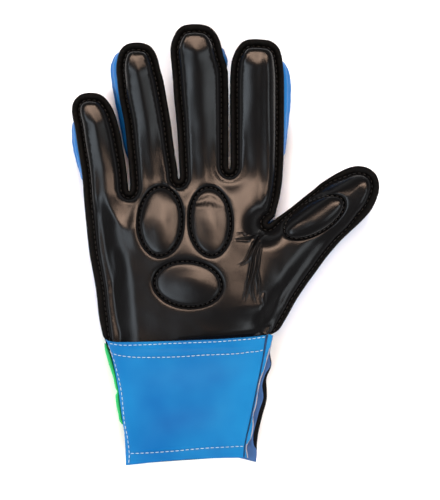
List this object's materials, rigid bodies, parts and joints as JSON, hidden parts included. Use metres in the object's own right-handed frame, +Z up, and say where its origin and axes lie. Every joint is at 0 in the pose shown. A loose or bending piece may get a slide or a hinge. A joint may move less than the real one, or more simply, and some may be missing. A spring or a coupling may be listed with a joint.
{
  "type": "goalkeeper glove",
  "caption": "Padded goalkeeper glove for the right hand, with quilted palm ovals, side strips between the fingers, a plain cuff and a strap round the back of the wrist",
  "frame": {"origin": "centre of the bounding box's bottom face, on the surface the glove lies on", "axes": "+X towards the thumb, +Y towards the fingertips, +Z up, out of the palm"},
  "size_m": [0.1858, 0.2632, 0.0344],
  "materials": {
    "palm_black": "smooth, satin",
    "side_blue": "smooth, satin",
    "cuff_blue": "smooth, satin",
    "facing_grey_blue": "matt",
    "knit_black": "matt",
    "strap_green": "matt"
  },
  "bodies": {
    "root": {"palm_panel": "palm_black", "palm_pad_ring": "palm_black", "palm_pad_index": "palm_black", "palm_pad_heel": "palm_black", "thumb_pad": "palm_black", "gusset_little_outer": "side_blue", "gusset_little_ring": "side_blue", "gusset_ring_middle": "side_blue", "gusset_middle_index": "side_blue", "gusset_index_thumb": "side_blue", "gusset_thumb_outer": "side_blue", "back_panel": "side_blue", "cuff_front": "cuff_blue", "cuff_facing": "facing_grey_blue", "cuff_back": "knit_black", "wrist_strap": "strap_green"}
  },
  "joints": []
}
